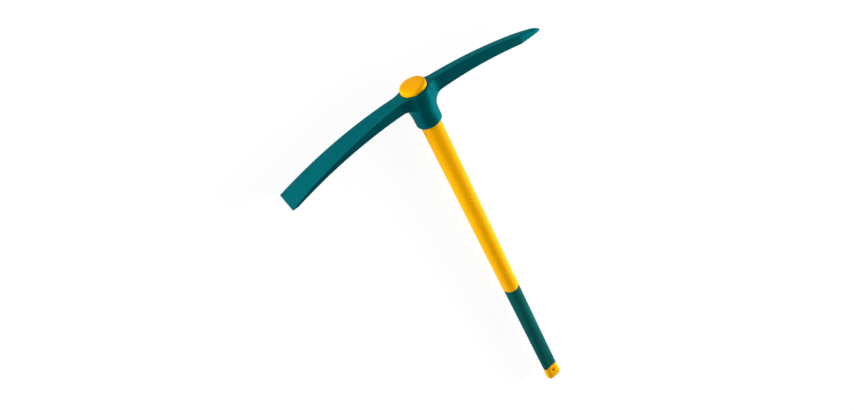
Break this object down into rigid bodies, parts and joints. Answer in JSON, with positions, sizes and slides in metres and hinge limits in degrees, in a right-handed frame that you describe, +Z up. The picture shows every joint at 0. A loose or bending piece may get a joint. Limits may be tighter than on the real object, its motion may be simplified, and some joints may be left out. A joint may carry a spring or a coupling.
{
  "type": "pick axe",
  "caption": "Digging pick with a forged steel head, a pointed arm opposite a chisel arm, on a round composite handle with a soft grip and a flattened, holed end.",
  "frame": {"origin": "on the floor, under the middle of the tool as it lies on its side with both arms of the head level", "axes": "+X along the handle from the head to the grip end, +Y from the chisel arm to the point arm, +Z up"},
  "size_m": [0.9, 0.502, 0.0544],
  "materials": {
    "head_paint": "dark teal paint over a steel forging, satin, with crisp forged edges",
    "jacket_plastic": "bright yellow moulded polypropylene, softly glossy",
    "core_fibre": "pultruded glass fibre, hidden inside the jacket",
    "grip_rubber": "dark teal soft elastomer, matte, finely textured"
  },
  "bodies": {
    "handle": {"handle_jacket": "jacket_plastic", "core_rod": "core_fibre", "grip_sleeve": "grip_rubber"},
    "head": {"pick_head": "head_paint"}
  },
  "joints": [
    {"name": "head_slide", "type": "slide", "parent": "handle", "child": "head", "axis": [1, 0, 0], "range_m": [0, 0.9]}
  ]
}
